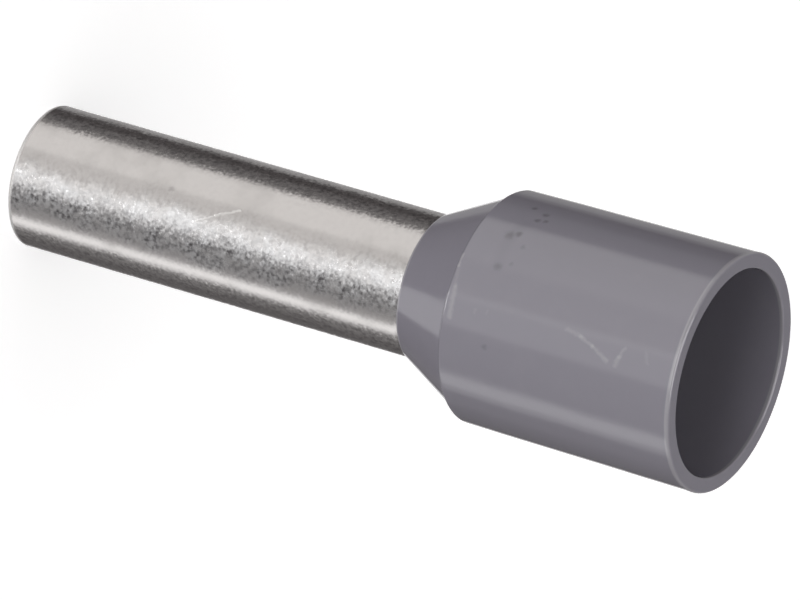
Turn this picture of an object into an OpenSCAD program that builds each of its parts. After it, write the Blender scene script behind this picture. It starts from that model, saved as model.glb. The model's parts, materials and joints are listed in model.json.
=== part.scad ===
// Insulated wire end ferrule: a tinned copper tube with a belled mouth, seated in a moulded collar.
// It stands on the tube's cut end with its axis on Z, and the wire enters from above.

/* [Tube] */
// Inside diameter of the tube, which takes the bare strands
tube_bore = 2.8; // [2.2:0.1:3.4]
// Wall of the tube
tube_wall = 0.2; // [0.12:0.02:0.36]
// Length of tube that stands out of the collar
pin_length = 10; // [6:0.5:18]
// Radius on the outer edge of the cut end
tip_round = 0.04; // [0.02:0.01:0.14]
// Radius on the inner edge of the cut end
tip_bore_round = 0.04; // [0.02:0.01:0.1]

/* [Bell mouth] */
// Length of the bell's bend that lies below the collar's lip
bell_lead = 0.1; // [0.06:0.01:0.3]
// Gap between the bell's edge and the wall of the collar's chamber
bell_gap = 0.15; // [0.05:0.01:0.3]
// Radius on the two edges of the bell's mouth
bell_round = 0.05; // [0.02:0.01:0.08]

/* [Collar] */
// Length of the collar
collar_length = 7.3; // [5:0.05:12]
// Inside diameter of the collar's chamber, which takes the wire's insulation
collar_bore = 4.6; // [4.2:0.1:6]
// Wall of the collar at its mouth
collar_wall = 0.35; // [0.25:0.01:0.6]
// Draft of the collar's outside, in degrees
collar_draft = 0.5; // [0.1:0.1:1]
// Radius on the outer edge of the mouth
rim_round = 0.07; // [0.02:0.01:0.16]
// Radius on the inner edge of the mouth
rim_bore_round = 0.05; // [0.02:0.01:0.16]

/* [Cone and shoulder] */
// Length of the cone from the lip to the shoulder
cone_length = 1.58; // [1:0.02:2.6]
// Wall of the cone, measured square to its face
cone_wall = 0.5; // [0.3:0.02:0.6]
// Wall of the lip where the collar closes on the tube
lip_wall = 0.06; // [0.04:0.01:0.12]
// Radius on the edge of the lip
lip_round = 0.04; // [0.01:0.01:0.08]
// Height of the step from the cone up to the shoulder
shoulder_step = 0.1; // [0.05:0.01:0.2]
// Radius on the edge of the shoulder
shoulder_round = 0.08; // [0.02:0.01:0.18]
// Length of the band behind the shoulder
band_length = 1; // [0.5:0.1:2]
// Taper that the band has beyond the collar's draft, in degrees
band_taper = 0.4; // [0.1:0.1:1]

/* [Fit] */
// Clearance between the tube and the seat that the collar holds it in
seat_gap = 0.01; // [0.005:0.005:0.03]

/* [Hidden] */
$fn = 96;
// Chords in each arc of a section, and the least flat left beside a rounded edge
arc_chords = 8;
edge_land = 0.01;

tube_inner = tube_bore / 2;
tube_outer = tube_inner + tube_wall;
chamber = collar_bore / 2;
mouth_z = pin_length + collar_length;
shoulder_z = pin_length + cone_length;
band_z = shoulder_z + band_length;

// Edge radii, limited by the wall that each one sits on
tip_edge = min(tip_round, (tube_wall - edge_land) / 2);
tip_bore_edge = min(tip_bore_round, (tube_wall - edge_land) / 2);
bell_edge = min(bell_round, (tube_wall - edge_land) / 2);
rim_edge = min(rim_round, (collar_wall - edge_land) / 2);
rim_bore_edge = min(rim_bore_round, (collar_wall - edge_land) / 2);
lip_edge = min(lip_round, lip_wall - edge_land);
shoulder_edge = min(shoulder_round, shoulder_step - edge_land);

// Outside radii of the collar, from the mouth back to the lip
mouth_r = chamber + collar_wall;
band_r = mouth_r - (mouth_z - rim_edge - band_z) * tan(collar_draft);
shoulder_r = band_r - (band_length - shoulder_edge) * tan(collar_draft + band_taper);
cone_r = shoulder_r - shoulder_step;
neck_r = tube_outer + seat_gap;
lip_r = neck_r + lip_wall;
cone_angle = atan2(cone_r - lip_r, cone_length);

// The bell lies parallel to the cone, under the cone's wall and the seat gap
bell_out = [sin(cone_angle), cos(cone_angle)];
bell_in = [-cos(cone_angle), sin(cone_angle)];
bell_depth = (cone_wall + seat_gap) / cos(cone_angle);
bell_corner_z = pin_length + (tube_outer + bell_depth - lip_r) / tan(cone_angle);
bell_r = chamber - bell_gap;
bell_length = (bell_r - tube_outer) / sin(cone_angle);

// One bend leads from the tube into the bell, from below the lip if the bell is long enough for it
bend_reach = min(bell_corner_z + bell_lead - pin_length, bell_length - 2 * bell_edge);
bend_r = bend_reach / tan(cone_angle / 2);
bend_z = bell_corner_z - bend_reach;
bend_centre = [tube_outer + bend_r, bend_z];
bell_end = [tube_outer, bell_corner_z] + bell_length * bell_out;

// The collar's seat follows the bell at the seat gap, from the lip up to the chamber
seat_r = bend_r - seat_gap;
seat_foot = asin(max(0, pin_length - bend_z) / seat_r);
seat_top = bend_centre + seat_r * bell_in;
chamber_z = seat_top[1] + (chamber - seat_top[0]) / tan(cone_angle);

// Points along an arc of the section, from one angle to another
function arc(centre, radius, from, to) =
    [for (i = [0 : arc_chords])
        let (a = from + (to - from) * i / arc_chords)
        centre + radius * [cos(a), sin(a)]];

// Section of the tube, from its cut end up the outside, round the bell's mouth and down the bore
function tube_section() =
    let (
        mouth_outer = bell_end - bell_edge * bell_out + bell_edge * bell_in,
        mouth_inner = bell_end - bell_edge * bell_out + (tube_wall - bell_edge) * bell_in
    )
    concat(
        arc([tube_outer - tip_edge, tip_edge], tip_edge, -90, 0),
        arc(bend_centre, bend_r, 180, 180 - cone_angle),
        arc(mouth_outer, bell_edge, -cone_angle, 90 - cone_angle),
        arc(mouth_inner, bell_edge, 90 - cone_angle, 180 - cone_angle),
        arc(bend_centre, bend_r + tube_wall, 180 - cone_angle, 180),
        arc([tube_inner + tip_bore_edge, tip_bore_edge], tip_bore_edge, 180, 270)
    );

// Section of the collar, from the lip up the outside, over the rim and down to the seat
function collar_section() =
    let (
        lip_centre = [
            lip_r + lip_edge * (tan(cone_angle) - 1 / cos(cone_angle)),
            pin_length + lip_edge
        ]
    )
    concat(
        [if (bend_z > pin_length) [neck_r, pin_length]],
        arc(lip_centre, lip_edge, -90, -cone_angle),
        [[cone_r, shoulder_z]],
        arc([shoulder_r - shoulder_edge, shoulder_z + shoulder_edge], shoulder_edge, -90, 0),
        [[band_r, band_z]],
        arc([mouth_r - rim_edge, mouth_z - rim_edge], rim_edge, 0, 90),
        arc([chamber + rim_bore_edge, mouth_z - rim_bore_edge], rim_bore_edge, 90, 180),
        [[chamber, chamber_z]],
        arc(bend_centre, seat_r, 180 - cone_angle, 180 - seat_foot)
    );

// Tinned copper tube, cut square at its tip and belled where it sits in the collar
module metal_tube() {
    color("gainsboro")
        rotate_extrude()
            polygon(tube_section());
}

// Moulded collar: lip, cone, shoulder and chamber in one shell
module insulating_collar() {
    color("dimgray")
        rotate_extrude()
            polygon(collar_section());
}

metal_tube();
insulating_collar();
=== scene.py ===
"""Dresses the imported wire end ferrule: lathed pieces, tin and plastic finishes, floor, light and camera."""

import json
import logging
import math
from dataclasses import dataclass
from enum import Enum
from typing import Any, Iterable, Mapping, Optional, Sequence, Union

import bpy
from mathutils import Matrix, Vector

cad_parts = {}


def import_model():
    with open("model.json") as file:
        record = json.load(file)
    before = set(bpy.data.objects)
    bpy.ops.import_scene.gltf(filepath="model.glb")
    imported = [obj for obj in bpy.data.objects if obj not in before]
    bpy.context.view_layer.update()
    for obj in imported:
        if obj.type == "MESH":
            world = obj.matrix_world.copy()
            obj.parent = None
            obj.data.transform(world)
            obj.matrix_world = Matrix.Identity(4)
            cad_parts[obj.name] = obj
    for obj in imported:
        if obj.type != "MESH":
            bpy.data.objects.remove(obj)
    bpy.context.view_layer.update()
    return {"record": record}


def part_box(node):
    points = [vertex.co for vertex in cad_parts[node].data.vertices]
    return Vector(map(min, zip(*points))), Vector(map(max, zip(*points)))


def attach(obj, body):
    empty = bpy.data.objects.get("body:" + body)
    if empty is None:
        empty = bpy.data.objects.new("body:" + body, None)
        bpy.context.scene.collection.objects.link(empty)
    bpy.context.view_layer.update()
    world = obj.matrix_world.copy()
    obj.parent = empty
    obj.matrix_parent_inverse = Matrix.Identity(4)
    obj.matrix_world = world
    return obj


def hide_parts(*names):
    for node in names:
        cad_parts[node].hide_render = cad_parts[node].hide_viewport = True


LOG = logging.getLogger("ferrule")

MM = 0.001
PER_MM = 1000.0
NOISE_MIDDLE = 0.5
BODY = "root"

Point = tuple[float, float]
Colour = tuple[float, float, float]

WHITE: Colour = (1.0, 1.0, 1.0)
WARM: Colour = (1.0, 0.985, 0.965)


class Node(Enum):
    """CAD nodes that the scene's pieces stand for."""

    TUBE = "metal_tube"
    COLLAR = "insulating_collar"


class Slot(Enum):
    """Material slots of the record."""

    TIN = "tinned_copper"
    PLASTIC = "grey_plastic"


class MarkKind(Enum):
    """What a mark does to the surface that it lies on."""

    # Pale line with a faint groove; on the collar's shoulder such lines are painted highlight
    SCRATCH = "scratch"
    PIT = "pit"


class Socket:
    """An output of a node tree that takes part in Python arithmetic."""

    def __init__(self, canvas: "Canvas", output: bpy.types.NodeSocket) -> None:
        """Keeps the canvas that the socket's node belongs to."""
        self.canvas = canvas
        self.output = output

    def _math(self, operation: str, *values: "Value") -> "Socket":
        """Adds a Math node with the given operation and operands."""
        links = dict(enumerate(values))
        return self.canvas.node("ShaderNodeMath", {"operation": operation}, links)

    def __add__(self, other: "Value") -> "Socket":
        """Sum."""
        return self._math("ADD", self, other)

    def __radd__(self, other: "Value") -> "Socket":
        """Sum with a number on the left."""
        return self._math("ADD", other, self)

    def __sub__(self, other: "Value") -> "Socket":
        """Difference."""
        return self._math("SUBTRACT", self, other)

    def __rsub__(self, other: "Value") -> "Socket":
        """Difference from a number on the left."""
        return self._math("SUBTRACT", other, self)

    def __mul__(self, other: "Value") -> "Socket":
        """Product."""
        return self._math("MULTIPLY", self, other)

    def __rmul__(self, other: "Value") -> "Socket":
        """Product with a number on the left."""
        return self._math("MULTIPLY", other, self)

    def __truediv__(self, other: "Value") -> "Socket":
        """Quotient."""
        return self._math("DIVIDE", self, other)

    def __rtruediv__(self, other: "Value") -> "Socket":
        """Quotient of a number on the left."""
        return self._math("DIVIDE", other, self)

    def __mod__(self, other: "Value") -> "Socket":
        """Remainder."""
        return self._math("FLOORED_MODULO", self, other)

    def __neg__(self) -> "Socket":
        """Negative."""
        return self._math("MULTIPLY", self, -1.0)

    def floor(self) -> "Socket":
        """Whole part."""
        return self._math("FLOOR", self)

    def sin(self) -> "Socket":
        """Sine of an angle in radians."""
        return self._math("SINE", self)

    def cos(self) -> "Socket":
        """Cosine of an angle in radians."""
        return self._math("COSINE", self)

    def absolute(self) -> "Socket":
        """Size without its sign."""
        return self._math("ABSOLUTE", self)

    def larger(self, other: "Value") -> "Socket":
        """The larger of the two."""
        return self._math("MAXIMUM", self, other)

    def smaller(self, other: "Value") -> "Socket":
        """The smaller of the two."""
        return self._math("MINIMUM", self, other)

    def turn_from(self, other: "Value") -> "Socket":
        """Angle whose tangent is this over the other, over the whole circle."""
        return self._math("ARCTAN2", self, other)

    def rise(self, low: float, high: float) -> "Socket":
        """Smooth step.

        Args:
            low: Value at which the step leaves 0.
            high: Value at which the step reaches 1.

        Returns:
            0 up to low, 1 from high on, and smooth between them.
        """
        links = {"Value": self, "From Min": low, "From Max": high}
        return self.canvas.node("ShaderNodeMapRange", {"interpolation_type": "SMOOTHSTEP"}, links)

    def fall(self, low: float, high: float) -> "Socket":
        """Smooth step down from 1 at low to 0 at high."""
        links = {"Value": self, "From Min": low, "From Max": high, "To Min": 1.0, "To Max": 0.0}
        return self.canvas.node("ShaderNodeMapRange", {"interpolation_type": "SMOOTHSTEP"}, links)

    def near(self, centre: float, reach: float, soft: float) -> "Socket":
        """Window.

        Args:
            centre: Middle of the window.
            reach: Half of its width.
            soft: Width of its soft edge.

        Returns:
            1 inside the window and 0 outside it.
        """
        return (self - centre).absolute().fall(reach - soft / 2, reach + soft / 2)


Value = Union[Socket, float, int, Sequence[float]]


class Canvas:
    """Builds one node tree."""

    # Shift of a noise for each whole seed, and the places of a Mix node's colour sockets
    SEED_STEP = (7.3, 3.1, 5.7)
    MIX_COLOURS = (6, 7)
    MIX_RESULT = 2

    def __init__(self, tree: bpy.types.NodeTree) -> None:
        """Starts from an empty tree."""
        self.tree = tree
        tree.nodes.clear()

    def node(
        self,
        kind: str,
        settings: Optional[Mapping[str, Any]] = None,
        links: Optional[Mapping[Union[str, int], Any]] = None,
        out: Union[str, int] = 0,
    ) -> Socket:
        """Adds a node.

        Args:
            kind: Blender's name of the node type.
            settings: Properties of the node, which are set first.
            links: Values or sockets for its inputs, by name or place.
            out: Name or place of the output that is wanted.

        Returns:
            The wanted output, or a socket without one for a node that has no outputs.
        """
        made = self.tree.nodes.new(kind)
        for name, value in (settings or {}).items():
            setattr(made, name, value)
        for key, value in (links or {}).items():
            if isinstance(value, Socket):
                self.tree.links.new(value.output, made.inputs[key])
            else:
                made.inputs[key].default_value = value
        return Socket(self, made.outputs[out] if len(made.outputs) else None)

    def vector(self, operation: str, *values: Value, out: Union[str, int] = 0) -> Socket:
        """Adds a Vector Math node.

        Args:
            operation: What the node does.
            values: Its vectors, in order.
            out: Output that is wanted, such as Value for a dot product.

        Returns:
            The wanted output.
        """
        links = dict(enumerate(values))
        return self.node("ShaderNodeVectorMath", {"operation": operation}, links, out)

    def scaled(self, vector: Value, factor: Value) -> Socket:
        """Vector times a number."""
        return self.node("ShaderNodeVectorMath", {"operation": "SCALE"}, {0: vector, "Scale": factor})

    def split(self, vector: Socket) -> tuple[Socket, Socket, Socket]:
        """The three parts of a vector."""
        first = self.node("ShaderNodeSeparateXYZ", {}, {0: vector})
        parts = first.output.node.outputs
        return Socket(self, parts[0]), Socket(self, parts[1]), Socket(self, parts[2])

    def joined(self, x: Value, y: Value, z: Value) -> Socket:
        """Vector of three parts."""
        return self.node("ShaderNodeCombineXYZ", {}, {0: x, 1: y, 2: z})

    def noise(
        self, place: Socket, size: float, detail: float = 2.0, seed: float = 0.0, out: str = "Fac"
    ) -> Socket:
        """Adds a Noise Texture.

        Args:
            place: Coordinates that it is read at.
            size: Size of its features, in the units of place.
            detail: Octaves of finer noise on top.
            seed: Fixed shift of the place, in features.
            out: Output that is wanted, Fac for one value or Color for three.

        Returns:
            The noise, around 0.5.
        """
        shift = tuple(step * seed for step in self.SEED_STEP)
        shifted = self.vector("ADD", self.scaled(place, 1.0 / size), shift)
        return self.node("ShaderNodeTexNoise", {}, {"Vector": shifted, "Scale": 1.0, "Detail": detail}, out)

    def leaning(self, place: Socket, size: float, seed: float) -> Socket:
        """Noise as a vector around 0."""
        noise = self.noise(place, size, seed=seed, out="Color")
        return self.vector("SUBTRACT", noise, (NOISE_MIDDLE, NOISE_MIDDLE, NOISE_MIDDLE))

    def disc(self, direction: Socket, aim: Sequence[float], reach: float, soft: float) -> Socket:
        """Round window of directions.

        Args:
            direction: Direction that is looked in, of length 1.
            aim: Middle of the window, of length 1.
            reach: Its radius in degrees.
            soft: Width of its soft edge in degrees.

        Returns:
            1 inside the window and 0 outside it.
        """
        outer = min(reach + soft / 2, 180.0)
        inner = max(reach - soft / 2, 0.0)
        edges = [math.cos(math.radians(edge)) for edge in (outer, inner)]
        return self.vector("DOT_PRODUCT", direction, aim, out="Value").rise(*edges)

    def total(self, vectors: Iterable[Value]) -> Socket:
        """Sum of vectors."""
        together: Value = (0.0, 0.0, 0.0)
        for vector in vectors:
            together = self.vector("ADD", together, vector)
        return together

    def mixed(self, factor: Value, first: Value, second: Value) -> Socket:
        """Mix of two colours.

        Args:
            factor: Share of the second colour.
            first: First colour.
            second: Second colour.

        Returns:
            The mixed colour.
        """
        made = self.node("ShaderNodeMix", {"data_type": "RGBA"}, {"Factor": factor}).output.node
        for place, colour in zip(self.MIX_COLOURS, (first, second)):
            if isinstance(colour, Socket):
                self.tree.links.new(colour.output, made.inputs[place])
            else:
                made.inputs[place].default_value = (*colour, 1.0)
        return Socket(self, made.outputs[self.MIX_RESULT])


@dataclass(frozen=True)
class Mark:
    """A small mark on a round surface, between two places given as turn in degrees and height in mm."""

    FADE = 0.75

    kind: MarkKind
    start: Point
    end: Point
    width: float
    depth: float = 1.0

    def mask(self, canvas: Canvas, unrolled: Socket, radius: float) -> Socket:
        """Where the mark lies.

        Args:
            canvas: Tree that the nodes go into.
            unrolled: Place on the unrolled surface, as girth and height in mm.
            radius: Radius in mm that the girth is measured at.

        Returns:
            The mark's depth on its line, and 0 away from it.
        """
        begin = Vector((math.radians(self.start[0]) * radius, self.start[1], 0.0))
        along = Vector((math.radians(self.end[0]) * radius, self.end[1], 0.0)) - begin
        offset = canvas.vector("SUBTRACT", unrolled, tuple(begin))
        if along.length > 0.0:
            share = canvas.vector("DOT_PRODUCT", offset, tuple(along / along.length_squared), out="Value")
            nearest = canvas.scaled(tuple(along), share.larger(0.0).smaller(1.0))
            away = canvas.vector("DISTANCE", offset, nearest, out="Value")
        else:
            away = canvas.vector("LENGTH", offset, out="Value")
        return away.fall(0.0, self.width * self.FADE) * self.depth


def summed(values: Iterable[Socket]) -> Socket:
    """Sum of sockets."""
    total: Optional[Socket] = None
    for value in values:
        total = value if total is None else total + value
    return total


@dataclass(frozen=True)
class Finish:
    """What every finish of the ferrule shares: its colour, gloss and marks."""

    SWAY = 0.09
    SWAY_SIZE = 0.12
    SWAY_SEED = 7.0

    name: str
    tint: Colour
    roughness: float
    marks: tuple[Mark, ...]
    mark_radius: float

    def begin(self) -> tuple[bpy.types.Material, Canvas]:
        """Makes the empty material.

        Returns:
            The material and the canvas of its node tree.
        """
        material = bpy.data.materials.new(self.name)
        material.use_nodes = True
        return material, Canvas(material.node_tree)

    def places(self, canvas: Canvas) -> tuple[Socket, Socket, Socket]:
        """Coordinates that the patterns are read at.

        Args:
            canvas: Tree that the nodes go into.

        Returns:
            The place in mm, the unrolled place as girth and height in mm, and the height in mm.
        """
        place = canvas.scaled(canvas.node("ShaderNodeTexCoord", out="Object"), PER_MM)
        x, y, z = canvas.split(place)
        turn = x.turn_from(-y)
        return place, canvas.joined(turn * self.mark_radius, z, 0.0), z

    def swayed(self, canvas: Canvas, unrolled: Socket) -> Socket:
        """Moves each place a little to and fro, so that the marks get uneven edges.

        Args:
            canvas: Tree that the nodes go into.
            unrolled: Place on the unrolled surface.

        Returns:
            The moved place.
        """
        sway = canvas.scaled(canvas.leaning(unrolled, self.SWAY_SIZE, self.SWAY_SEED), self.SWAY)
        return canvas.vector("MULTIPLY_ADD", sway, (1.0, 1.0, 0.0), unrolled)

    def marked(self, canvas: Canvas, uneven: Socket, kind: MarkKind) -> Socket:
        """Masks of all the marks of one kind.

        Args:
            canvas: Tree that the nodes go into.
            uneven: Place on the unrolled surface, moved to and fro.
            kind: Kind of mark that is wanted.

        Returns:
            Sum of the masks, at most 1.
        """
        chosen = [mark for mark in self.marks if mark.kind is kind]
        return summed(mark.mask(canvas, uneven, self.mark_radius) for mark in chosen).smaller(1.0)

    def close(
        self, canvas: Canvas, links: Mapping[str, Any], height: Socket, tilt: Optional[Socket] = None
    ) -> None:
        """Adds the surface shader and its relief.

        Args:
            canvas: Tree that the nodes go into.
            links: Values and sockets of the Principled shader.
            height: Height of the relief in mm.
            tilt: Vector that leans the surface, if it has facets.
        """
        normal = canvas.node("ShaderNodeBump", {}, {"Strength": 1.0, "Distance": MM, "Height": height})
        if tilt is not None:
            normal = canvas.vector("NORMALIZE", canvas.vector("ADD", normal, tilt))
        shader = canvas.node("ShaderNodeBsdfPrincipled", {}, {**links, "Normal": normal})
        canvas.node("ShaderNodeOutputMaterial", {}, {"Surface": shader})


@dataclass(frozen=True)
class TinPlate(Finish):
    """Matte tin plating whose fine crystals each lean their own way, most of all in one coarse zone. Strips
    at set turns also carry painted light: a paler painted highlight in the coarse zone, and painted shade as
    dark specks and darkening in the speckled strip and in two shade bands near the sides.
    """

    # Stretch of noise over which specks, clumps and stains set in
    SPECK_EDGES = (0.36, 0.76)
    CLUMP_EDGES = (0.35, 0.65)
    STAIN_EDGES = (0.45, 0.75)
    # How far the strips wander, in radians, and where the pale cut starts to fade, as a share of its height
    WANDER = 0.35
    CUT_FADE = 0.5
    # Shares of each tone, all over the tube and where its own strip, clumps, patches or pits lie; the
    # highlight tone in the coarse strip is a painted highlight, and the speck tone in the speckled strip and
    # the shade bands is painted shade
    STAIN_ALL = 0.1
    STAIN_PATCHES = 0.3
    HIGHLIGHT_ALL = 0.5
    HIGHLIGHT_CLUMPS = 0.5
    SPECK_ALL = 0.04
    SPECK_GRAINY = 0.2
    SPECK_SHADE_BANDS = 0.3
    SPECK_STRIP = 0.3
    SPECK_CLUMPS = 0.4
    SHADE_STRIP = 0.2
    SHADE_PIT = 0.5
    # Added roughness, share of the lean that the smooth strips keep, and depths in mm
    ROUGH_COARSE = 0.06
    ROUGH_CUT = 0.5
    SMOOTH_LEAN = 0.3
    PIT_DEPTH = 0.003
    SCRATCH_DEPTH = 0.004

    stain: Colour
    highlight_tin: Colour
    speck_and_shade: Colour
    cut: Colour
    cut_height: float
    grain_size: float
    speck_size: float
    speck_shade_turn: float
    speck_shade_reach: float
    fine_lean: float
    coarse_lean: float
    coarse_turn: float
    coarse_reach: float
    smooth_turn: float
    smooth_reach: float
    calm_turn: float
    calm_reach: float
    shade_band_turns: tuple[float, ...]
    shade_band_reach: float
    clump_size: float
    patch_size: float
    roughness_spread: float

    @staticmethod
    def strip(wandering: Socket, turn: float, reach: float) -> Socket:
        """Soft strip along the tube, about a turn and with a reach in degrees."""
        return wandering.near(math.radians(turn), math.radians(reach), math.radians(reach))

    def material(self) -> bpy.types.Material:
        """Builds the plating.

        Returns:
            The material.
        """
        material, canvas = self.begin()
        place, unrolled, height_mm = self.places(canvas)
        grain = canvas.leaning(place, self.grain_size, seed=1.0)
        patches = canvas.noise(place, self.patch_size, detail=2.0, seed=2.0)
        specks = canvas.noise(place, self.speck_size, detail=4.0, seed=5.0).rise(*self.SPECK_EDGES)
        clumps = canvas.noise(place, self.clump_size, detail=2.0, seed=6.0).rise(*self.CLUMP_EDGES)
        uneven = self.swayed(canvas, unrolled)
        scratch = self.marked(canvas, uneven, MarkKind.SCRATCH)
        pit = self.marked(canvas, uneven, MarkKind.PIT)
        cut = height_mm.fall(self.CUT_FADE * self.cut_height, self.cut_height)
        girth, _, _ = canvas.split(unrolled)
        wandering = girth / self.mark_radius + (patches - NOISE_MIDDLE) * self.WANDER
        coarse = self.strip(wandering, self.coarse_turn, self.coarse_reach)
        speck_shade_strip = self.strip(wandering, self.speck_shade_turn, self.speck_shade_reach)
        smooth = self.strip(wandering, self.smooth_turn, self.smooth_reach)
        calm = self.strip(wandering, self.calm_turn, self.calm_reach)
        shade_bands = summed(self.strip(wandering, turn, self.shade_band_reach) for turn in self.shade_band_turns)
        grainy = 1.0 - smooth.larger(calm)
        stained = patches.rise(*self.STAIN_EDGES) * self.STAIN_PATCHES + self.STAIN_ALL
        colour = canvas.mixed(stained, self.tint, self.stain)
        # Painted highlight: paler tin in the coarse strip, which faces the camera, brightest in the clumps
        colour = canvas.mixed(coarse * (clumps * self.HIGHLIGHT_CLUMPS + self.HIGHLIGHT_ALL), colour, self.highlight_tin)
        # Painted shade: dark specks thickest in the speckled strip and the two shade bands, fewer in the
        # smooth and calm strips, and a flat darkening of the speckled strip; the sparse specks all over and
        # the pits are the tin's own tone
        speck_and_shade_amount = speck_shade_strip * (clumps * self.SPECK_CLUMPS + self.SPECK_STRIP)
        speck_and_shade_amount = speck_and_shade_amount + grainy * self.SPECK_GRAINY + shade_bands * self.SPECK_SHADE_BANDS + self.SPECK_ALL
        dark = specks * speck_and_shade_amount + speck_shade_strip * self.SHADE_STRIP + pit * self.SHADE_PIT
        colour = canvas.mixed(dark.smaller(1.0), colour, self.speck_and_shade)
        colour = canvas.mixed(cut.larger(scratch), colour, self.cut)
        rough = self.roughness + (patches - NOISE_MIDDLE) * self.roughness_spread
        rough = rough + coarse * self.ROUGH_COARSE + cut * self.ROUGH_CUT
        fine = grainy * (1.0 - self.SMOOTH_LEAN) + self.SMOOTH_LEAN
        lean = canvas.scaled(grain, coarse * self.coarse_lean + fine * self.fine_lean)
        links = {"Base Color": colour, "Metallic": 1.0, "Roughness": rough}
        self.close(canvas, links, pit * -self.PIT_DEPTH - scratch * self.SCRATCH_DEPTH, lean)
        return material


@dataclass(frozen=True)
class MouldedPlastic(Finish):
    """Satin moulded plastic with faint mottling, paler edges that are a painted highlight, and small handling
    marks.
    """

    # Shares of the pale and dark tones, added roughness, depths in mm, and the shader's specular level
    PALE_EDGE_HIGHLIGHT = 0.7
    PALE_SCRATCH_AND_HIGHLIGHT = 0.7
    PALE_MOTTLE = 0.12
    SHADE_PIT = 0.8
    ROUGH_MOTTLE = 0.06
    ROUGH_SCRATCH = 0.15
    PIT_DEPTH = 0.006
    SCRATCH_DEPTH = 0.002
    SPECULAR = 1.0

    pale: Colour
    dark: Colour
    # Heights and reaches of the paler bands that paint a highlight on rounded edges
    edges: tuple[Point, ...]
    mottle_size: float
    skin_size: float
    skin_depth: float

    def material(self) -> bpy.types.Material:
        """Builds the plastic.

        Returns:
            The material.
        """
        material, canvas = self.begin()
        place, unrolled, height_mm = self.places(canvas)
        mottle = canvas.noise(place, self.mottle_size, detail=3.0, seed=3.0)
        skin = canvas.noise(place, self.skin_size, detail=2.0, seed=4.0)
        # Painted highlight: paler bands round the rim and the lip
        edge_highlight = summed(height_mm.near(z, reach, reach) for z, reach in self.edges).smaller(1.0)
        uneven = self.swayed(canvas, unrolled)
        scratch = self.marked(canvas, uneven, MarkKind.SCRATCH)
        pit = self.marked(canvas, uneven, MarkKind.PIT)
        blotch = mottle - NOISE_MIDDLE
        # Pale scratches are real marks, except the lines along the shoulder's edge, which are painted
        # highlight
        lighter = edge_highlight * self.PALE_EDGE_HIGHLIGHT + scratch * self.PALE_SCRATCH_AND_HIGHLIGHT + blotch * self.PALE_MOTTLE
        colour = canvas.mixed(lighter.larger(0.0).smaller(1.0), self.tint, self.pale)
        colour = canvas.mixed(pit * self.SHADE_PIT, colour, self.dark)
        rough = self.roughness + blotch * self.ROUGH_MOTTLE + scratch * self.ROUGH_SCRATCH
        relief = skin * self.skin_depth - pit * self.PIT_DEPTH - scratch * self.SCRATCH_DEPTH
        links = {"Base Color": colour, "Roughness": rough, "Specular IOR Level": self.SPECULAR}
        self.close(canvas, links, relief)
        return material


class Section:
    """Closed half-section of a turned piece, as points of radius and height in mm."""

    ARC_STEP = 7.5
    RUN_STEP = 0.16
    GUARD = 0.012
    LEAST_GUARDS = 4
    SHORTEST = 1e-7
    FILLET_STEPS = 6

    def __init__(self) -> None:
        """Starts without points."""
        self.points: list[Point] = []

    def corner(self, radius: float, height: float) -> None:
        """Adds one point."""
        self.points.append((radius, height))

    def arc(self, centre: Point, radius: float, start: float, end: float) -> None:
        """Adds an arc.

        Args:
            centre: Its centre.
            radius: Its radius in mm.
            start: Angle of its first point in degrees.
            end: Angle of its last point in degrees.
        """
        steps = max(2, math.ceil(abs(end - start) / self.ARC_STEP))
        for step in range(steps + 1):
            angle = math.radians(start + (end - start) * step / steps)
            self.corner(centre[0] + radius * math.cos(angle), centre[1] + radius * math.sin(angle))

    def fillet(self, before: Point, at: Point, after: Point, reach: float) -> None:
        """Adds a small hollow curve in place of a sharp inner corner.

        Args:
            before: A point on the run that leads to the corner.
            at: The corner.
            after: A point on the run that leads away from it.
            reach: Distance from the corner at which the curve begins and ends.
        """
        corner = Vector(at)
        begin = corner + (Vector(before) - corner).normalized() * reach
        end = corner + (Vector(after) - corner).normalized() * reach
        for step in range(self.FILLET_STEPS + 1):
            share = step / self.FILLET_STEPS
            place = begin.lerp(corner, share).lerp(corner.lerp(end, share), share)
            self.corner(place.x, place.y)

    def loop(self) -> list[Point]:
        """Divides the long straight runs.

        Returns:
            The points, with a short guard at both ends of a run so that its shading stays flat.
        """
        divided: list[Point] = []
        for first, second in zip(self.points, self.points[1:] + self.points[:1]):
            length = math.dist(first, second)
            if length < self.SHORTEST:
                continue
            shares = [0.0]
            if length > self.LEAST_GUARDS * self.GUARD:
                guard = self.GUARD / length
                steps = max(1, math.ceil((length - 2 * self.GUARD) / self.RUN_STEP))
                shares += [guard + (1 - 2 * guard) * step / steps for step in range(steps + 1)]
            for share in shares:
                divided.append(tuple(a + (b - a) * share for a, b in zip(first, second)))
        return divided


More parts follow.
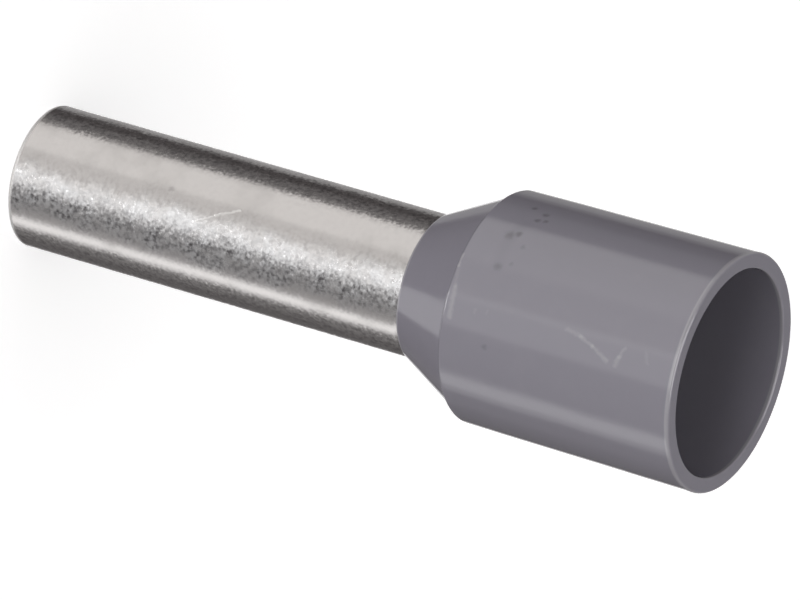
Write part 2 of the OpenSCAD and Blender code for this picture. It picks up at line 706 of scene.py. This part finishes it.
class Lathe:
    """Geometry Nodes tree that turns a section round the Z axis and makes its wall slightly uneven."""

    SEGMENTS = 240
    MERGE = 1e-8
    # Shifts that keep a whole number from being rounded to the one below it
    COLUMN_NUDGE = 0.5
    ROW_NUDGE = 0.25

    def __init__(self) -> None:
        """Builds the tree once for all the pieces."""
        self.tree = bpy.data.node_groups.new("lathe", "GeometryNodeTree")
        self.keys: dict[str, str] = {}
        self._socket("Geometry", "NodeSocketGeometry", "INPUT")
        for name, kind in (
            ("Segments", "NodeSocketInt"),
            ("Waviness", "NodeSocketFloat"),
            ("Wave length", "NodeSocketFloat"),
            ("Seed", "NodeSocketFloat"),
            ("Finish", "NodeSocketMaterial"),
        ):
            self.keys[name] = self._socket(name, kind, "INPUT")
        self._socket("Geometry", "NodeSocketGeometry", "OUTPUT")
        self._fill()

    def _socket(self, name: str, kind: str, side: str) -> str:
        """Adds an input or output of the tree and returns its identifier."""
        return self.tree.interface.new_socket(name, in_out=side, socket_type=kind).identifier

    def _fill(self) -> None:
        """Adds the nodes: a grid is rolled up, one side round the axis and one along the section."""
        canvas = Canvas(self.tree)
        inputs = canvas.node("NodeGroupInput").output.node.outputs
        given = {output.name: Socket(canvas, output) for output in inputs if output.name}
        position = canvas.node("GeometryNodeInputPosition")
        index = canvas.node("GeometryNodeInputIndex")
        count = canvas.node(
            "GeometryNodeAttributeDomainSize",
            {"component": "MESH"},
            {"Geometry": given["Geometry"]},
            "Point Count",
        )
        sides = {
            "Size X": 1.0,
            "Size Y": 1.0,
            "Vertices X": given["Segments"] + 1,
            "Vertices Y": count + 1,
        }
        grid = canvas.node("GeometryNodeMeshGrid", {}, sides, "Mesh")
        column = ((index + self.COLUMN_NUDGE) / (count + 1)).floor()
        row = (index - column * (count + 1)) % count
        angle = (column % given["Segments"]) * math.tau / given["Segments"]
        sampled = canvas.node(
            "GeometryNodeSampleIndex",
            {"data_type": "FLOAT_VECTOR", "domain": "POINT"},
            {"Geometry": given["Geometry"], "Value": position, "Index": row + self.ROW_NUDGE},
        )
        radius, _, height = canvas.split(sampled)
        turned = canvas.joined(radius * angle.cos(), radius * angle.sin(), height)
        rolled = canvas.node("GeometryNodeSetPosition", {}, {"Geometry": grid, "Position": turned})
        closed = canvas.node("GeometryNodeMergeByDistance", {}, {"Geometry": rolled, "Distance": self.MERGE})
        wave_place = canvas.scaled(position, 1.0 / given["Wave length"])
        seed = given["Seed"]
        shifted = canvas.vector("ADD", wave_place, canvas.joined(seed, seed, seed))
        wave = canvas.noise(shifted, size=1.0, detail=1.0)
        normal = canvas.node("GeometryNodeInputNormal")
        shift = canvas.scaled(normal, (wave - NOISE_MIDDLE) * given["Waviness"])
        uneven = canvas.node("GeometryNodeSetPosition", {}, {"Geometry": closed, "Offset": shift})
        smooth = canvas.node("GeometryNodeSetShadeSmooth", {}, {"Geometry": uneven})
        real = canvas.node("GeometryNodeRealizeInstances", {}, {"Geometry": smooth})
        coat = {"Geometry": real, "Material": given["Finish"]}
        dressed = canvas.node("GeometryNodeSetMaterial", {}, coat)
        canvas.node("NodeGroupOutput", {}, {"Geometry": dressed})

    def turn(
        self, name: str, section: Section, finish: bpy.types.Material, wave: "Wave"
    ) -> bpy.types.Object:
        """Turns a section into a piece.

        Args:
            name: Name of the piece.
            section: Its closed half-section.
            finish: Its material.
            wave: Unevenness of its wall.

        Returns:
            The piece, as a plain mesh at the origin.
        """
        loop = section.loop()
        vertices = [(radius * MM, 0.0, height * MM) for radius, height in loop]
        edges = [(place, (place + 1) % len(loop)) for place in range(len(loop))]
        outline = bpy.data.meshes.new(name + "_section")
        outline.from_pydata(vertices, edges, [])
        piece = bpy.data.objects.new(name, outline)
        bpy.context.scene.collection.objects.link(piece)
        modifier = piece.modifiers.new("lathe", "NODES")
        modifier.node_group = self.tree
        modifier[self.keys["Segments"]] = self.SEGMENTS
        modifier[self.keys["Waviness"]] = wave.height * MM
        modifier[self.keys["Wave length"]] = wave.length * MM
        modifier[self.keys["Seed"]] = wave.seed
        modifier[self.keys["Finish"]] = finish
        graph = bpy.context.evaluated_depsgraph_get()
        mesh = bpy.data.meshes.new_from_object(piece.evaluated_get(graph))
        piece.modifiers.remove(modifier)
        piece.data = mesh
        mesh.name = name
        bpy.data.meshes.remove(outline)
        return piece


@dataclass(frozen=True)
class Wave:
    """Slight unevenness of a wall: its height and length in mm, and its seed."""

    height: float
    length: float
    seed: float


@dataclass
class InsulatingCollar:
    """Moulded collar, in mm: lip, cone, shoulder, band, barrel and chamber."""

    tube_outer: float
    pin_length: float
    chamber: float
    mouth_r: float
    mouth_z: float
    rim_round: float = 0.07
    rim_bore_round: float = 0.05
    draft: float = 0.5
    cone_length: float = 1.58
    cone_wall: float = 0.5
    lip_wall: float = 0.06
    lip_round: float = 0.04
    shoulder_step: float = 0.1
    shoulder_round: float = 0.08
    shoulder_fillet: float = 0.035
    band_length: float = 1.0
    band_taper: float = 0.4
    seat_gap: float = 0.01
    wave: Wave = Wave(0.006, 1.3, 5.0)

    @classmethod
    def from_frame(cls, mounts: Mapping[str, Mapping[str, float]]) -> "InsulatingCollar":
        """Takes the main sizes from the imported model.

        Args:
            mounts: Sizes of the record's mounts, by name.

        Returns:
            The collar.
        """
        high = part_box(Node.COLLAR.value)[1]
        return cls(
            tube_outer=mounts["terminal_pin"]["r_mm"],
            pin_length=mounts["terminal_pin"]["length_mm"],
            chamber=mounts["wire_entry"]["r_mm"],
            mouth_r=high[0] * PER_MM,
            mouth_z=high[2] * PER_MM,
        )

    @property
    def shoulder_z(self) -> float:
        """Height of the step behind the cone."""
        return self.pin_length + self.cone_length

    @property
    def band_z(self) -> float:
        """Height at which the band behind the shoulder ends."""
        return self.shoulder_z + self.band_length

    @property
    def band_r(self) -> float:
        """Outside radius where the band ends."""
        run = self.mouth_z - self.rim_round - self.band_z
        return self.mouth_r - run * math.tan(math.radians(self.draft))

    @property
    def shoulder_r(self) -> float:
        """Outside radius of the shoulder."""
        run = self.band_length - self.shoulder_round
        return self.band_r - run * math.tan(math.radians(self.draft + self.band_taper))

    @property
    def cone_r(self) -> float:
        """Outside radius at the top of the cone."""
        return self.shoulder_r - self.shoulder_step

    @property
    def lip_r(self) -> float:
        """Outside radius of the lip."""
        return self.tube_outer + self.seat_gap + self.lip_wall

    @property
    def cone_angle(self) -> float:
        """Slope of the cone from the axis, in degrees."""
        return math.degrees(math.atan2(self.cone_r - self.lip_r, self.cone_length))

    def section(self, bell: "Bell") -> Section:
        """Half-section of the collar.

        Args:
            bell: Bend of the tube that the seat follows.

        Returns:
            The section, from the lip up the outside, over the rim and down to the seat.
        """
        slope = math.radians(self.cone_angle)
        lip_shift = self.lip_round * (math.tan(slope) - 1 / math.cos(slope))
        lip_centre = (self.lip_r + lip_shift, self.pin_length + self.lip_round)
        hollow = (self.cone_r, self.shoulder_z)
        step_end = (self.shoulder_r - self.shoulder_round, self.shoulder_z)
        seat_r = bell.radius - self.seat_gap
        seat_foot = math.degrees(math.asin((self.pin_length - bell.centre[1]) / seat_r))
        seat_top = bell.centre[1] + seat_r * math.sin(slope)
        seat_edge = bell.centre[0] - seat_r * math.cos(slope)
        chamber_z = seat_top + (self.chamber - seat_edge) / math.tan(slope)
        made = Section()
        made.arc(lip_centre, self.lip_round, -90.0, -self.cone_angle)
        made.fillet((self.lip_r, self.pin_length), hollow, step_end, self.shoulder_fillet)
        made.arc((step_end[0], self.shoulder_z + self.shoulder_round), self.shoulder_round, -90.0, 0.0)
        made.corner(self.band_r, self.band_z)
        made.arc((self.mouth_r - self.rim_round, self.mouth_z - self.rim_round), self.rim_round, 0.0, 90.0)
        inner = (self.chamber + self.rim_bore_round, self.mouth_z - self.rim_bore_round)
        made.arc(inner, self.rim_bore_round, 90.0, 180.0)
        made.corner(self.chamber, chamber_z)
        made.arc(bell.centre, seat_r, 180.0 - self.cone_angle, 180.0 - seat_foot)
        return made

    def build(self, lathe: Lathe, bell: "Bell", finish: bpy.types.Material) -> bpy.types.Object:
        """Turns the collar.

        Args:
            lathe: Tree that turns it.
            bell: Bend of the tube that the seat follows.
            finish: Its material.

        Returns:
            The piece.
        """
        return lathe.turn("collar_moulding", self.section(bell), finish, self.wave)

    def dress(self) -> bpy.types.Material:
        """Finish of the collar.

        Returns:
            The material.
        """
        # Turn and height of each mark, or of both its ends, then its width and its depth
        pits = (
            ((-58.2, 12.44), 0.14, 0.55), ((-55.0, 12.80), 0.16, 0.55), ((-49.4, 12.74), 0.14, 0.6),
            ((-50.1, 12.93), 0.13, 0.55), ((-35.5, 12.42), 0.23, 0.42), ((-37.7, 12.60), 0.16, 0.65),
            ((-31.0, 12.86), 0.13, 0.3), ((-18.0, 12.53), 0.2, 0.38), ((-20.8, 12.80), 0.11, 0.25),
            ((20.8, 12.74), 0.14, 0.3),
        )
        smudges = (
            ((-44.0, 12.55), (-36.0, 12.44), 0.36, 0.1),
            ((-36.0, 12.44), (-18.0, 12.51), 0.34, 0.07),
        )
        scratches = (
            ((1.5, 14.58), (2.9, 14.95), 0.11, 0.4),
            ((2.9, 14.95), (5.8, 15.28), 0.1, 0.55),
            ((5.8, 15.28), (10.3, 15.66), 0.11, 0.55),
            ((11.5, 15.89), (7.2, 15.94), 0.11, 0.48),
            ((7.2, 15.94), (2.5, 16.03), 0.09, 0.42),
            ((2.0, 16.53), (6.4, 16.63), 0.08, 0.22),
            ((6.0, 12.36), (4.6, 12.36), 0.08, 0.24),
            ((4.8, 12.65), (3.6, 12.65), 0.07, 0.2),
            # The last three scratches, along the shoulder's rounded edge, are painted highlight: pale lines
            # where light glints on that edge, each with a faint groove
            ((-19.0, self.shoulder_z + 0.05), (-13.0, self.shoulder_z + 0.08), 0.08, 0.8),
            ((-13.0, self.shoulder_z + 0.08), (-3.0, self.shoulder_z + 0.16), 0.09, 0.25),
            ((-3.0, self.shoulder_z + 0.17), (11.0, self.shoulder_z + 0.22), 0.14, 0.65),
        )
        marks = [Mark(MarkKind.PIT, place, place, width, depth) for place, width, depth in pits]
        marks += [Mark(MarkKind.PIT, *smudge) for smudge in smudges]
        marks += [Mark(MarkKind.SCRATCH, *scratch) for scratch in scratches]
        # Painted highlight: paler bands on the rim's round and on the lip
        rim_highlight = (self.mouth_z - 0.8 * self.rim_round, 0.6 * self.rim_round)
        lip_highlight = (self.pin_length + 0.5 * self.lip_round, self.lip_round)
        finish = MouldedPlastic(
            name="moulded_grey_plastic",
            tint=(0.283, 0.272, 0.316),
            roughness=0.11,
            marks=tuple(marks),
            mark_radius=self.band_r,
            pale=(0.46, 0.45, 0.48),
            dark=(0.075, 0.07, 0.085),
            edges=(rim_highlight, lip_highlight),
            mottle_size=0.5,
            skin_size=0.07,
            skin_depth=0.0006,
        )
        return finish.material()


@dataclass(frozen=True)
class Bell:
    """Bend from the tube into its belled mouth: centre and radius of its outer face, and the bell's end."""

    centre: Point
    radius: float
    end: Point


@dataclass
class MetalTube:
    """Tinned copper tube, in mm: cut end, straight pin and belled mouth."""

    inner: float
    outer: float
    pin_length: float
    tip_round: float = 0.04
    tip_bore_round: float = 0.04
    bell_lead: float = 0.1
    bell_gap: float = 0.15
    bell_round: float = 0.05
    wave: Wave = Wave(0.004, 0.9, 9.0)

    @classmethod
    def from_frame(cls, mounts: Mapping[str, Mapping[str, float]]) -> "MetalTube":
        """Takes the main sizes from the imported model.

        Args:
            mounts: Sizes of the record's mounts, by name.

        Returns:
            The tube.
        """
        pin = mounts["terminal_pin"]
        return cls(inner=mounts["conductor_bore"]["r_mm"], outer=pin["r_mm"], pin_length=pin["length_mm"])

    def bell(self, collar: InsulatingCollar) -> Bell:
        """Bend that leads into the bell, which lies parallel to the collar's cone.

        Args:
            collar: Collar that the bell sits in.

        Returns:
            The bend.
        """
        slope = math.radians(collar.cone_angle)
        depth = (collar.cone_wall + collar.seat_gap) / math.cos(slope)
        corner_z = self.pin_length + (self.outer + depth - collar.lip_r) / math.tan(slope)
        length = (collar.chamber - self.bell_gap - self.outer) / math.sin(slope)
        reach = min(corner_z + self.bell_lead - self.pin_length, length - 2 * self.bell_round)
        radius = reach / math.tan(slope / 2)
        end = (self.outer + length * math.sin(slope), corner_z + length * math.cos(slope))
        return Bell((self.outer + radius, corner_z - reach), radius, end)

    def section(self, bell: Bell, cone_angle: float) -> Section:
        """Half-section of the tube.

        Args:
            bell: Bend that leads into the bell.
            cone_angle: Slope of the bell from the axis, in degrees.

        Returns:
            The section, from the cut end up the outside, round the bell's mouth and down the bore.
        """
        slope = math.radians(cone_angle)
        along = Vector((math.sin(slope), math.cos(slope)))
        inward = Vector((-math.cos(slope), math.sin(slope)))
        wall = self.outer - self.inner
        edge = self.bell_round
        mouth_outer = Vector(bell.end) - edge * along + edge * inward
        mouth_inner = Vector(bell.end) - edge * along + (wall - edge) * inward
        made = Section()
        made.arc((self.outer - self.tip_round, self.tip_round), self.tip_round, -90.0, 0.0)
        made.arc(bell.centre, bell.radius, 180.0, 180.0 - cone_angle)
        made.arc(tuple(mouth_outer), edge, -cone_angle, 90.0 - cone_angle)
        made.arc(tuple(mouth_inner), edge, 90.0 - cone_angle, 180.0 - cone_angle)
        made.arc(bell.centre, bell.radius + wall, 180.0 - cone_angle, 180.0)
        tip_inner = (self.inner + self.tip_bore_round, self.tip_bore_round)
        made.arc(tip_inner, self.tip_bore_round, 180.0, 270.0)
        return made

    def build(self, lathe: Lathe, collar: InsulatingCollar, finish: bpy.types.Material) -> bpy.types.Object:
        """Turns the tube.

        Args:
            lathe: Tree that turns it.
            collar: Collar that its bell sits in.
            finish: Its material.

        Returns:
            The piece.
        """
        section = self.section(self.bell(collar), collar.cone_angle)
        return lathe.turn("tube_body", section, finish, self.wave)

    def dress(self) -> bpy.types.Material:
        """Finish of the tube.

        Returns:
            The material.
        """
        scratches = (
            ((3.1, 4.69), (-6.0, 5.17), 0.06, 0.6),
            ((-6.0, 5.17), (-15.9, 5.69), 0.055, 0.9),
        )
        pits = ((-56.8, 2.43), (-45.1, 3.09), (-16.5, 3.92), (19.6, 4.3), (19.9, 4.79), (18.7, 5.69))
        pit_width = 0.13
        pit_depth = 0.6
        marks = [Mark(MarkKind.SCRATCH, *scratch) for scratch in scratches]
        marks += [Mark(MarkKind.PIT, place, place, pit_width, pit_depth) for place in pits]
        finish = TinPlate(
            name="matte_tin_plate",
            tint=(0.705, 0.682, 0.672),
            roughness=0.22,
            marks=tuple(marks),
            mark_radius=self.outer,
            stain=(0.5, 0.485, 0.47),
            # Paler tone of the painted highlight in the coarse strip
            highlight_tin=(0.84, 0.84, 0.845),
            # Dark tone of the specks and pits, also used for the painted shade of the speckled strip and the
            # shade bands
            speck_and_shade=(0.17, 0.162, 0.167),
            cut=(0.85, 0.84, 0.83),
            cut_height=0.1,
            grain_size=0.07,
            speck_size=0.1,
            # Turn and reach of the strip with the painted shade
            speck_shade_turn=22.0,
            speck_shade_reach=11.0,
            fine_lean=0.26,
            coarse_lean=0.26,
            coarse_turn=14.0,
            coarse_reach=17.0,
            smooth_turn=-27.0,
            smooth_reach=17.0,
            calm_turn=40.0,
            calm_reach=12.0,
            # Turns and reach of the painted shade bands near the tube's sides
            shade_band_turns=(-57.0, 62.0),
            shade_band_reach=10.0,
            clump_size=0.4,
            patch_size=0.8,
            roughness_spread=0.12,
        )
        return finish.material()


@dataclass(frozen=True)
class Panel:
    """An upright soft panel of a ring: its place and half width in degrees, and how bright it is.

    Azimuth is 0 towards the camera and grows towards +X.
    """

    azimuth: float
    half_width: float
    level: float
    soft: float = 4.0
    tint: Colour = WHITE

    def light(self, canvas: Canvas, heading: Socket) -> Socket:
        """Light that the panel sends.

        Args:
            canvas: Tree that the nodes go into.
            heading: Direction that is looked in, laid flat.

        Returns:
            The panel's colour inside its width and black outside.
        """
        turn = math.radians(self.azimuth)
        aim = (math.sin(turn), -math.cos(turn), 0.0)
        return canvas.scaled(self.tint, canvas.disc(heading, aim, self.half_width, self.soft) * self.level)


@dataclass(frozen=True)
class Ring:
    """Soft panels that stand round the ferrule at one elevation, in degrees above the floor's plane."""

    elevation: float
    half_height: float
    panels: tuple[Panel, ...]
    soft: float = 8.0

    def edges(self, elevation: float) -> tuple[float, float]:
        """Sines of the elevations between which the ring's soft edge at one elevation lies."""
        half = self.soft / 2
        return math.sin(math.radians(elevation - half)), math.sin(math.radians(elevation + half))

    def light(self, canvas: Canvas, heading: Socket, height: Socket) -> Socket:
        """Light that the ring's panels send.

        Args:
            canvas: Tree that the nodes go into.
            heading: Direction that is looked in, laid flat.
            height: Sine of the elevation that is looked in.

        Returns:
            The sum of the panels inside the ring's height and black outside.
        """
        foot = self.edges(self.elevation - self.half_height)
        top = self.edges(self.elevation + self.half_height)
        band = height.rise(*foot) * height.fall(*top)
        return canvas.scaled(canvas.total(panel.light(canvas, heading) for panel in self.panels), band)


@dataclass(frozen=True)
class Spot:
    """A round soft light: where it stands and its radius, in degrees, and how bright it is."""

    azimuth: float
    elevation: float
    radius: float
    level: float
    soft: float = 4.0

    def light(self, canvas: Canvas, direction: Socket) -> Socket:
        """Light that the spot sends.

        Args:
            canvas: Tree that the nodes go into.
            direction: Direction that is looked in.

        Returns:
            White at the spot's level inside its outline and black outside.
        """
        turn = math.radians(self.azimuth)
        tilt = math.radians(self.elevation)
        flat = math.cos(tilt)
        aim = (math.sin(turn) * flat, -math.cos(turn) * flat, math.sin(tilt))
        return canvas.scaled(WHITE, canvas.disc(direction, aim, self.radius, self.soft) * self.level)


@dataclass
class PhotoCamera:
    """Camera at the photograph's place, from its lens, the two angles of the axis and the tip's pixel."""

    focal_px: float = 9955.0
    image_width: float = 800.0
    image_height: float = 600.0
    sensor_mm: float = 36.0
    axis_roll: float = 16.2
    elevation: float = 27.275
    tip_px: Point = (47.75, 175.92)
    tip_depth_mm: float = 219.12
    clip_start_mm: float = 1.0

    def build(self) -> bpy.types.Object:
        """Makes the camera.

        Returns:
            The camera, which looks along the photograph's view.
        """
        roll = math.radians(self.axis_roll)
        rise = math.radians(self.elevation)
        back = Vector((0.0, -math.cos(rise), math.sin(rise)))
        uphill = Vector((0.0, math.sin(rise), math.cos(rise)))
        side = uphill.cross(back)
        right = uphill * math.cos(roll) + side * -math.sin(roll)
        up = back.cross(right)
        offset_x = (self.tip_px[0] - self.image_width / 2) / self.focal_px
        offset_y = (self.image_height / 2 - self.tip_px[1]) / self.focal_px
        place = (back - right * offset_x - up * offset_y) * self.tip_depth_mm * MM
        data = bpy.data.cameras.new("photo_camera")
        data.sensor_fit = "HORIZONTAL"
        data.sensor_width = self.sensor_mm
        data.lens = self.focal_px * self.sensor_mm / self.image_width
        data.clip_start = self.clip_start_mm * MM
        camera = bpy.data.objects.new("photo_camera", data)
        turned = Matrix((right, up, back)).transposed()
        camera.matrix_world = Matrix.Translation(place) @ turned.to_4x4()
        bpy.context.scene.collection.objects.link(camera)
        bpy.context.scene.camera = camera
        return camera


@dataclass
class Studio:
    """Pale floor, and rings of soft panels and round lights about the ferrule."""

    floor_half: float = 1.5
    floor_z: float = -0.005 * MM
    floor_colour: Colour = (0.9, 0.9, 0.9)
    floor_glow: float = 0.53
    ambient: Colour = (0.071, 0.064, 0.065)
    rings: tuple[Ring, ...] = (
        Ring(-28.0, 20.0, (
            Panel(-150.0, 14.0, 0.19),
            Panel(-101.0, 12.0, 0.09),
            Panel(-62.5, 24.0, 0.825, soft=9.0, tint=WARM),
            Panel(-18.0, 21.0, 0.65, soft=7.0, tint=WARM),
            Panel(14.5, 12.0, 0.76, soft=15.0),
            Panel(51.0, 26.0, 0.283),
            Panel(90.0, 12.5, 0.633),
            Panel(89.0, 6.5, 0.55),
            Panel(112.0, 10.0, 0.13),
            Panel(140.0, 20.0, 0.072),
            Panel(190.0, 27.0, 0.14),
            Panel(180.0, 14.0, 0.9),
        )),
        Ring(3.0, 12.0, (
            Panel(8.0, 20.0, 3.1),
            Panel(180.0, 60.0, 0.3),
        )),
        Ring(32.0, 17.0, (
            Panel(0.0, 90.0, 0.13),
            Panel(180.0, 90.0, 0.13),
        )),
    )
    spots: tuple[Spot, ...] = (
        Spot(75.0, -75.0, 10.0, 0.82),
        Spot(12.0, -55.0, 9.0, 6.2),
        Spot(0.0, 80.0, 25.0, 2.4),
    )

    def build_floor(self) -> bpy.types.Object:
        """Makes the floor, which the camera sees with the ferrule's shadow and the soft lights shine past.

        Returns:
            The floor.
        """
        half = self.floor_half
        outline = ((-half, -half), (half, -half), (half, half), (-half, half))
        corners = [(x, y, self.floor_z) for x, y in outline]
        mesh = bpy.data.meshes.new("floor")
        mesh.from_pydata(corners, [], [(0, 1, 2, 3)])
        floor = bpy.data.objects.new("floor", mesh)
        bpy.context.scene.collection.objects.link(floor)
        material = bpy.data.materials.new("pale_floor")
        material.use_nodes = True
        canvas = Canvas(material.node_tree)
        links = {
            "Base Color": (*self.floor_colour, 1.0),
            "Roughness": 1.0,
            "Specular IOR Level": 0.0,
            "Emission Color": (*WHITE, 1.0),
            "Emission Strength": self.floor_glow,
        }
        shader = canvas.node("ShaderNodeBsdfPrincipled", {}, links)
        canvas.node("ShaderNodeOutputMaterial", {}, {"Surface": shader})
        mesh.materials.append(material)
        floor.visible_diffuse = False
        floor.visible_glossy = False
        floor.visible_transmission = False
        floor.visible_shadow = False
        return floor

    def build_light(self) -> bpy.types.World:
        """Makes the world that holds the soft lights.

        Returns:
            The world.
        """
        world = bpy.data.worlds.new("soft_studio")
        world.use_nodes = True
        canvas = Canvas(world.node_tree)
        direction = canvas.node("ShaderNodeTexCoord", out="Generated")
        heading = canvas.vector("NORMALIZE", canvas.vector("MULTIPLY", direction, (1.0, 1.0, 0.0)))
        _, _, height = canvas.split(direction)
        lights = [self.ambient]
        lights += [ring.light(canvas, heading, height) for ring in self.rings]
        lights += [spot.light(canvas, direction) for spot in self.spots]
        glow = {"Color": canvas.total(lights), "Strength": 1.0}
        background = canvas.node("ShaderNodeBackground", {}, glow)
        canvas.node("ShaderNodeOutputWorld", {}, {"Surface": background})
        bpy.context.scene.world = world
        return world


def hang(piece: bpy.types.Object, node: Node) -> None:
    """Puts a piece in its CAD node's place.

    Args:
        piece: The finished piece.
        node: CAD node that it stands for.
    """
    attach(piece, BODY)
    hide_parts(node.value)
    LOG.info("%s: %d faces, stands for %s", piece.name, len(piece.data.polygons), node.value)


def main() -> None:
    """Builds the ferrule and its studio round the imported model."""
    logging.basicConfig(level=logging.INFO, format="%(name)s: %(message)s")
    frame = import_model()
    bpy.context.scene.view_settings.view_transform = "Standard"
    mounts = {mount["name"]: mount["dims"] for mount in frame["record"]["mounts"]}

    camera = PhotoCamera().build()
    LOG.info("camera at %s", [round(value * PER_MM, 3) for value in camera.matrix_world.translation])
    studio = Studio()
    studio.build_floor()
    studio.build_light()

    lathe = Lathe()
    collar = InsulatingCollar.from_frame(mounts)
    tube = MetalTube.from_frame(mounts)
    hang(tube.build(lathe, collar, tube.dress()), Node.TUBE)
    hang(collar.build(lathe, tube.bell(collar), collar.dress()), Node.COLLAR)


if __name__ == "__main__":
    main()
